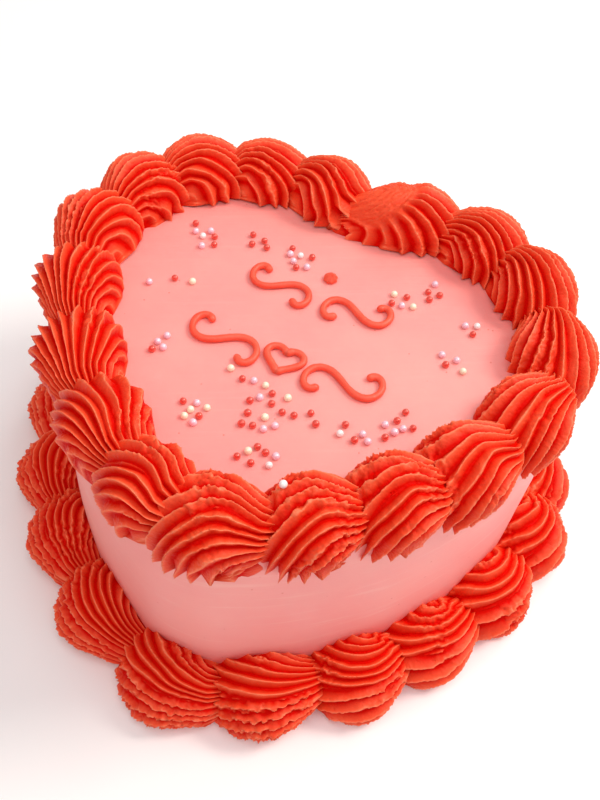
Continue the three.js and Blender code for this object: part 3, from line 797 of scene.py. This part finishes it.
def stroke_piece(name, paths, seed, material):
    """One or more piped lines as one closed piece, with the ends' last rings closed by fans."""
    points, quads, triangles = [], [], []
    start = 0
    for k, path in enumerate(paths):
        surface = stroke_surface(path, seed + 3 * k)
        rings, sides = surface.shape[:2]
        index = ring_index(rings, sides, start)
        first = start + rings * sides
        points += [surface.reshape(-1, 3), surface[[0, -1]].mean(1)]
        quads.append(grid_faces(index))
        triangles += [fan_faces(first, index[0][::-1]), fan_faces(first + 1, index[-1])]
        start = first + 2
    return put_piece(name, np.concatenate(points), [np.concatenate(quads), np.concatenate(triangles)],
                     material, (name,))


def drop_piece(material):
    """Small peaked drop: a turned profile with soft ribs that twist as they rise to a bent tip."""
    profile = np.array([[0.9, 0], [1.0, 0.08], [1.06, 0.2], [1.0, 0.36], [0.8, 0.52], [0.52, 0.68],
                        [0.26, 0.82], [0.1, 0.93]])
    fine = np.linspace(0, len(profile) - 1, 36)
    r = np.interp(fine, np.arange(len(profile)), profile[:, 0])[:, None]
    h = np.interp(fine, np.arange(len(profile)), profile[:, 1])[:, None]
    a = 2 * np.pi * np.arange(48)[None, :] / 48
    rib = 1 + DROP_RIBS["depth"] * np.cos(DROP_RIBS["count"] * (a + DROP_RIBS["twist"] * h)) * (1 - h)
    bend = 0.5 * h ** 3
    x = DROP["x"] + DROP["radius"] * (r * rib * np.cos(a) + bend)
    y = DROP["y"] + DROP["radius"] * (r * rib * np.sin(a) - bend * 0.4)
    z = CAKE_H - DROP["sink"] + DROP["height"] * h + 0 * a
    surface = np.stack([x, y, z], -1)
    tip = [DROP["x"] + DROP["radius"] * 0.5, DROP["y"] - DROP["radius"] * 0.2, CAKE_H + DROP["height"]]
    index = ring_index(*surface.shape[:2])
    count = surface[..., 0].size
    points = np.concatenate([surface.reshape(-1, 3), [tip, [DROP["x"], DROP["y"], CAKE_H - DROP["sink"]]]])
    triangles = np.concatenate([fan_faces(count, index[-1]), fan_faces(count + 1, index[0][::-1])])
    return put_piece("drop_peaked", points, [grid_faces(index), triangles], material,
                     ("piped_drop",))


def inside_heart(x, y, margin):
    """Whether a point lies inside the heart moved in by a margin: a ray from it crosses the line an odd
    number of times."""
    a = offset_heart(-margin)[0]
    b = np.roll(a, 1, 0)
    spans = (a[:, 1] > y) != (b[:, 1] > y)
    rise = np.where(spans, b[:, 1] - a[:, 1], 1)
    cross = (b[:, 0] - a[:, 0]) * (y - a[:, 1]) / rise + a[:, 0]
    return bool(np.sum(spans & (x < cross)) % 2)


def on_piping(x, y):
    """Whether a pearl there would lie on the piped rows or the drop."""
    clear = PEARL_R + STROKE_W / 2 + PEARL_CLEAR
    on_row = any(
        abs(x) < row["to"] + clear and abs(y - row["y"]) < ROW_HALF_HEIGHT + PEARL_R
        for row in (UPPER_ROW, LOWER_ROW)
    )
    return on_row or math.hypot(x - DROP["x"], y - DROP["y"]) < DROP["radius"] + clear


def pearl_places():
    """Colour letter and centre of each pearl: seeded draws inside each group, kept clear of one another."""
    draw = seeded(PEARL_SEED)
    places = []
    for x, y, reach_x, reach_y, colours in PEARL_GROUPS:
        placed = 0
        for _ in range(PEARL_TRIES):
            if placed == len(colours):
                break
            px = x + reach_x * (next(draw) + next(draw) - 1)
            py = y + reach_y * (next(draw) + next(draw) - 1)
            crowded = any(math.hypot(c[0] - px, c[1] - py) < PEARL_SPACE for _, c in places)
            if not crowded and not on_piping(px, py) and inside_heart(px, py, PEARL_MARGIN):
                places.append((colours[placed], (px, py, CAKE_H + PEARL_R - PEARL_SINK)))
                placed += 1
    return places


def pearl_piece(name, centres, material, seed):
    """Balls as one piece: a grid of latitude and longitude for all centres at once, each a little larger or
    smaller than the next."""
    rows, columns = 11, 18
    lift = np.pi * np.arange(1, rows) / rows
    a = 2 * np.pi * np.arange(columns) / columns
    ball = np.stack([
        np.sin(lift)[:, None] * np.cos(a), np.sin(lift)[:, None] * np.sin(a), np.cos(lift)[:, None] + 0 * a,
    ], -1).reshape(-1, 3)
    ball = np.concatenate([ball, [[0, 0, 1], [0, 0, -1]]])
    centres = np.array(centres)
    radius = PEARL_R * np.random.default_rng(seed).uniform(*PEARL_SIZES, len(centres))
    points = centres[:, None, :] + ball[None] * radius[:, None, None]
    index = ring_index(rows - 1, columns)
    top = (rows - 1) * columns
    triangles = np.concatenate([fan_faces(top, index[0]), fan_faces(top + 1, index[-1][::-1])])
    step = (len(ball) * np.arange(len(centres)))[:, None, None]
    quads = (grid_faces(index)[None] + step).reshape(-1, 4)[:, ::-1]
    triangles = (triangles[None] + step).reshape(-1, 3)
    return put_piece(name, points.reshape(-1, 3), [quads, triangles], material, ("cake_body",))


def linear(hex_colour):
    """An sRGB hex colour as linear red, green, blue and alpha."""
    values = [int(hex_colour[k:k + 2], 16) / 255 for k in (1, 3, 5)]
    return tuple(v / 12.92 if v <= 0.04045 else ((v + 0.055) / 1.055) ** 2.4 for v in values) + (1.0,)


def add(tree, kind, settings=None, links=None):
    """Adds a node: settings are its own properties or the values of its sockets, links feed its sockets."""
    node = tree.nodes.new(kind)
    for key, value in (settings or {}).items():
        if isinstance(key, str) and hasattr(node, key):
            setattr(node, key, value)
        else:
            node.inputs[key].default_value = value
    for key, source in (links or {}).items():
        tree.links.new(source, node.inputs[key])
    return node


def new_material(name):
    """An empty node material, its output and the link that lays a pattern out by the place on the cake."""
    material = bpy.data.materials.new(name)
    material.use_nodes = True
    tree = material.node_tree
    tree.nodes.clear()
    output = add(tree, "ShaderNodeOutputMaterial")
    return material, tree, output, {"Vector": add(tree, "ShaderNodeTexCoord").outputs["Object"]}


# Patterns of the materials: a Scale is 1 over the metres from one patch, streak, grain or bubble to the next.
# Where a Mapping node has that, the pattern's own Scale is 1.


def smoothed_buttercream():
    """American buttercream drawn smooth with a spatula: soft salmon pink that wanders to peach, faint streaks
    along the spatula's way, tiny air holes with painted shade in them, a satin shine."""
    material, tree, output, place = new_material("smoothed_buttercream")
    mapped = add(tree, "ShaderNodeUVMap", {"uv_map": "spatula"})
    cloud = add(tree, "ShaderNodeTexNoise", {"Scale": 1 / 0.04, "Detail": 5.0, "Roughness": 0.6}, place)
    pink = add(tree, "ShaderNodeMix", {"data_type": "RGBA", 6: linear("#F78C8A"), 7: linear("#FCAAA0")},
               {0: cloud.outputs["Fac"]})
    stretched = add(tree, "ShaderNodeMapping", {"Scale": (1 / 0.06, 1 / 0.0035, 1.0)},
                    {"Vector": mapped.outputs["UV"]})
    streak = add(tree, "ShaderNodeTexNoise", {"Scale": 1.0, "Detail": 4.0, "Roughness": 0.6},
                 {"Vector": stretched.outputs["Vector"]})
    height = add(tree, "ShaderNodeSeparateXYZ", None, place)
    wall = add(tree, "ShaderNodeMapRange", {
        "From Min": 0.1, "From Max": 0.1035, "To Min": 0.6, "To Max": 0.15,
    }, {"Value": height.outputs["Z"]})
    pale = add(tree, "ShaderNodeMapRange", {"From Min": 0.58, "From Max": 0.78},
               {"Value": streak.outputs["Fac"], "To Max": wall.outputs["Result"]})
    streaked = add(tree, "ShaderNodeMix", {"data_type": "RGBA", 7: linear("#FFC2B6")},
                   {0: pale.outputs["Result"], 6: pink.outputs[2]})
    hole = add(tree, "ShaderNodeTexVoronoi", {"Scale": 1 / 0.008, "Randomness": 1.0}, place)
    pit = add(tree, "ShaderNodeMapRange", {"From Min": 0.02, "From Max": 0.06},
              {"Value": hole.outputs["Distance"]})
    # Painted shade: the tiny air holes are mixed to a darker pink (#E5786C).
    pit_shaded = add(tree, "ShaderNodeMix", {"data_type": "RGBA", 6: linear("#E5786C")},
                 {0: pit.outputs["Result"], 7: streaked.outputs[2]})
    grain = add(tree, "ShaderNodeTexNoise", {"Scale": 1 / 0.0012, "Detail": 2.0}, place)
    lines = add(tree, "ShaderNodeBump", {"Strength": 0.5, "Distance": 0.0004},
                {"Height": streak.outputs["Fac"]})
    fine = add(tree, "ShaderNodeBump", {"Strength": 0.3, "Distance": 0.00008},
               {"Height": grain.outputs["Fac"], "Normal": lines.outputs["Normal"]})
    holes = add(tree, "ShaderNodeBump", {"Strength": 0.5, "Distance": 0.0002},
                {"Height": pit.outputs["Result"], "Normal": fine.outputs["Normal"]})
    rough = add(tree, "ShaderNodeMapRange", {"To Min": 0.4, "To Max": 0.52}, {"Value": cloud.outputs["Fac"]})
    shader = add(tree, "ShaderNodeBsdfPrincipled", {
        "IOR": 1.45, "Specular IOR Level": 0.6, "Subsurface Weight": 0.15,
        "Subsurface Radius": (0.004, 0.0016, 0.0012), "Subsurface Scale": 1.0,
    }, {"Base Color": pit_shaded.outputs[2], "Roughness": rough.outputs["Result"],
        "Normal": holes.outputs["Normal"]})
    tree.links.new(shader.outputs["BSDF"], output.inputs["Surface"])
    return material


def whipped_buttercream():
    """Buttercream whipped and piped through a star nozzle: coral red, with a painted highlight on the thin
    crests and painted shade, deep red, in the valleys, where the satin shine is weaker too, and a porous skin
    of small air bubbles."""
    material, tree, output, place = new_material("whipped_buttercream")
    hollow = add(tree, "ShaderNodeAttribute", {"attribute_name": "hollow"})
    cloud = add(tree, "ShaderNodeTexNoise", {"Scale": 1 / 0.011, "Detail": 3.0, "Roughness": 0.55}, place)
    skin = add(tree, "ShaderNodeMix", {"data_type": "RGBA", 6: linear("#F24A26"), 7: linear("#FA6438")},
               {0: cloud.outputs["Fac"]})
    # Painted shade: by their share of hollow the valleys turn deep red (#D60800) and lose most of their
    # shine.
    depth = add(tree, "ShaderNodeMapRange", {"From Min": 0.12, "From Max": 0.88},
                {"Value": hollow.outputs["Fac"]})
    # Painted highlight: a thin light salmon line (#FF8E66) along each crest.
    edge = add(tree, "ShaderNodeMapRange", {"From Min": 0.04, "From Max": 0.2, "To Min": 0.6, "To Max": 0.0},
               {"Value": hollow.outputs["Fac"]})
    crest_highlighted = add(tree, "ShaderNodeMix", {"data_type": "RGBA", 7: linear("#FF8E66")},
                {0: edge.outputs["Result"], 6: skin.outputs[2]})
    coral = add(tree, "ShaderNodeMix", {"data_type": "RGBA", 7: linear("#D60800")},
                {0: depth.outputs["Result"], 6: crest_highlighted.outputs[2]})
    bubble = add(tree, "ShaderNodeTexVoronoi", {"Scale": 1 / 0.0024, "Randomness": 1.0}, place)
    pit = add(tree, "ShaderNodeMapRange", {"From Min": 0.06, "From Max": 0.2},
              {"Value": bubble.outputs["Distance"]})
    porous = add(tree, "ShaderNodeTexNoise", {"Scale": 1 / 0.0011, "Detail": 3.0, "Roughness": 0.6}, place)
    skin_bump = add(tree, "ShaderNodeBump", {"Strength": 0.8, "Distance": 0.0004},
                    {"Height": porous.outputs["Fac"]})
    pit_bump = add(tree, "ShaderNodeBump", {"Strength": 0.5, "Distance": 0.0003},
                   {"Height": pit.outputs["Result"], "Normal": skin_bump.outputs["Normal"]})
    sheen = add(tree, "ShaderNodeMapRange", {"To Min": 0.36, "To Max": 0.04},
                {"Value": depth.outputs["Result"]})
    shader = add(tree, "ShaderNodeBsdfPrincipled", {
        "Roughness": 0.46, "IOR": 1.45, "Subsurface Weight": 0.08,
        "Subsurface Radius": (0.0018, 0.0005, 0.0003), "Subsurface Scale": 1.0,
    }, {"Base Color": coral.outputs[2], "Specular IOR Level": sheen.outputs["Result"],
        "Normal": pit_bump.outputs["Normal"]})
    tree.links.new(shader.outputs["BSDF"], output.inputs["Surface"])
    return material


def thin_buttercream():
    """The same coral buttercream through a small round nozzle: denser and smoother, with a fine uneven skin."""
    material, tree, output, place = new_material("thin_buttercream")
    cloud = add(tree, "ShaderNodeTexNoise", {"Scale": 1 / 0.006, "Detail": 3.0}, place)
    coral = add(tree, "ShaderNodeMix", {"data_type": "RGBA", 6: linear("#EE4B32"), 7: linear("#F66A50")},
                {0: cloud.outputs["Fac"]})
    skin = add(tree, "ShaderNodeTexNoise", {"Scale": 1 / 0.0009, "Detail": 3.0}, place)
    bump = add(tree, "ShaderNodeBump", {"Strength": 0.4, "Distance": 0.0002}, {"Height": skin.outputs["Fac"]})
    shader = add(tree, "ShaderNodeBsdfPrincipled", {
        "Roughness": 0.42, "IOR": 1.45, "Specular IOR Level": 0.45, "Subsurface Weight": 0.25,
        "Subsurface Radius": (0.003, 0.0008, 0.0005), "Subsurface Scale": 1.0,
    }, {"Base Color": coral.outputs[2], "Normal": bump.outputs["Normal"]})
    tree.links.new(shader.outputs["BSDF"], output.inputs["Surface"])
    return material


def sugar_pearl(name, colour, rim, metallic, roughness):
    """Polished sugar ball with a pearl lustre: a soft wide highlight under a clear glaze, and a painted
    sheen, its colour turning lighter towards the rim as seen from the camera."""
    material, tree, output, place = new_material(name)
    mottle = add(tree, "ShaderNodeTexNoise", {"Scale": 1 / 0.0012, "Detail": 2.0}, place)
    # Painted sheen: the colour turns to the lighter rim colour where the surface faces away from the view.
    edge = add(tree, "ShaderNodeLayerWeight", {"Blend": 0.35})
    tone = add(tree, "ShaderNodeMix", {"data_type": "RGBA", 6: linear(colour), 7: linear(rim)},
               {0: edge.outputs["Facing"]})
    shade = add(tree, "ShaderNodeMapRange", {"To Min": roughness, "To Max": roughness + 0.12},
                {"Value": mottle.outputs["Fac"]})
    shader = add(tree, "ShaderNodeBsdfPrincipled", {
        "Metallic": metallic, "IOR": 1.5, "Coat Weight": 0.4, "Coat Roughness": 0.12,
    }, {"Base Color": tone.outputs[2], "Roughness": shade.outputs["Result"]})
    tree.links.new(shader.outputs["BSDF"], output.inputs["Surface"])
    return material


def matte_card():
    """White card for the floor, matte with a barely uneven tone."""
    material, tree, output, place = new_material("matte_card")
    cloud = add(tree, "ShaderNodeTexNoise", {"Scale": 1 / 0.4, "Detail": 2.0}, place)
    tone = add(tree, "ShaderNodeMix", {"data_type": "RGBA", 6: linear("#FAFAFA"), 7: linear("#FCFCFC")},
               {0: cloud.outputs["Fac"]})
    shader = add(tree, "ShaderNodeBsdfPrincipled", {"Roughness": 0.9, "Specular IOR Level": 0.1},
                 {"Base Color": tone.outputs[2]})
    tree.links.new(shader.outputs["BSDF"], output.inputs["Surface"])
    return material


def add_camera():
    """Camera that looks down on the cake from in front, a little from the right of the tip, with a slight
    roll."""
    down = math.radians(CAMERA_DOWN)
    roll = math.radians(CAMERA_ROLL)
    round_by = math.radians(CAMERA_ROUND)
    level_ahead = math.cos(down) * np.array([-math.sin(round_by), math.cos(round_by), 0.0])
    ahead = level_ahead - [0.0, 0.0, math.sin(down)]
    level = np.array([math.cos(round_by), math.sin(round_by), 0.0])
    up = np.cross(level, ahead)
    right = math.cos(roll) * level + math.sin(roll) * up
    upright = -math.sin(roll) * level + math.cos(roll) * up
    data = bpy.data.cameras.new("camera")
    data.sensor_fit = "HORIZONTAL"
    data.sensor_width = SENSOR
    data.lens = LENS
    data.clip_start = 0.01
    camera = new_object("camera", data)
    turned = Matrix(np.stack([right, upright, -ahead], -1).tolist()).to_4x4()
    camera.matrix_world = Matrix.Translation(Vector(CAMERA_PLACE) * MM) @ turned
    bpy.context.scene.camera = camera


def add_softbox(name, place, size, power, colour):
    """Square soft light at a place in metres, aimed at the middle of the cake."""
    data = bpy.data.lights.new(name, "AREA")
    data.shape = "SQUARE"
    data.size = size
    data.energy = power
    data.color = linear(colour)[:3]
    light = new_object(name, data)
    light.location = place
    aim = Vector(LIGHT_AIM) - Vector(place)
    light.rotation_euler = aim.to_track_quat("-Z", "Y").to_euler()


def add_stage():
    """Pale floor, white surroundings and soft studio light."""
    mesh = bpy.data.meshes.new("floor")
    turns = ((-1, -1), (1, -1), (1, 1), (-1, 1))
    mesh.from_pydata([(x * FLOOR_REACH, y * FLOOR_REACH, FLOOR_Z) for x, y in turns], [], [(0, 1, 2, 3)])
    mesh.materials.append(matte_card())
    new_object("floor", mesh)
    world = bpy.data.worlds.new("studio")
    bpy.context.scene.world = world
    world.use_nodes = True
    tree = world.node_tree
    tree.nodes.clear()
    sky = add(tree, "ShaderNodeBackground", {"Color": (1, 1, 1, 1), "Strength": SKY_STRENGTH})
    output = add(tree, "ShaderNodeOutputWorld")
    tree.links.new(sky.outputs["Background"], output.inputs["Surface"])
    for light in LIGHTS:
        add_softbox(*light)
    bpy.context.scene.view_settings.view_transform = "Standard"


def build():
    """All pieces of the cake."""
    whipped = whipped_buttercream()
    thin = thin_buttercream()
    cake_piece(smoothed_buttercream())
    top = top_shells()
    last = len(top) - 1
    for i, shell in enumerate(top):
        later = [top[i + 1 if i < last else 0]] if i else []
        if i == 1:
            later.append(top[0])
        shell_piece(f"top_shell_{i:02d}", shell, TOP_GRID, later, whipped)
    base = base_shells()
    for i, shell in enumerate(base):
        later = [base[(i + 1) % BASE_COUNT]]
        shell_piece(f"base_shell_{i:02d}", shell, BASE_GRID, later, whipped)
    for k, (label, row) in enumerate((("upper", UPPER_ROW), ("lower", LOWER_ROW))):
        for side, sign in (("left", -1), ("right", 1)):
            stroke_piece(f"scroll_{label}_{side}", [scroll_path(row, sign)], 40 + 10 * k + 3 * sign, thin)
    stroke_piece("piped_heart", [half_heart_path(-1), half_heart_path(1)], 71, thin)
    drop_piece(thin)
    build_pearls(top)


def build_pearls(top):
    """The scattered pearls, one piece for each colour, and the one that lies on a shell."""
    places = pearl_places()
    shell = top[SHELL_PEARL["shell"]]
    angles = math.radians(SHELL_PEARL["beta"]), math.radians(SHELL_PEARL["theta"])
    seat = shell_point(shell["form"], np.array(angles[0]), np.array(angles[1]), TOP_LOOKS["crest"])
    places.append(("w", tuple(shell["axes"] @ seat + shell["centre"])))
    # The second colour of each pearl is its painted sheen at the rim.
    kinds = (
        ("r", "pearls_red", sugar_pearl("red_pearl", "#E94A3E", "#F49686", 0.4, 0.2)),
        ("p", "pearls_pink", sugar_pearl("pink_pearl", "#F4CBDA", "#F8DCE8", 0.15, 0.22)),
        ("w", "pearls_white", sugar_pearl("white_pearl", "#F6F1EE", "#FBF6FA", 0.1, 0.2)),
        ("i", "pearls_ivory", sugar_pearl("ivory_pearl", "#F4EFD0", "#FAF7E6", 0.1, 0.22)),
    )
    for k, (letter, name, material) in enumerate(kinds):
        pearl_piece(name, [centre for kind, centre in places if kind == letter], material, 90 + k)


build()
add_camera()
add_stage()
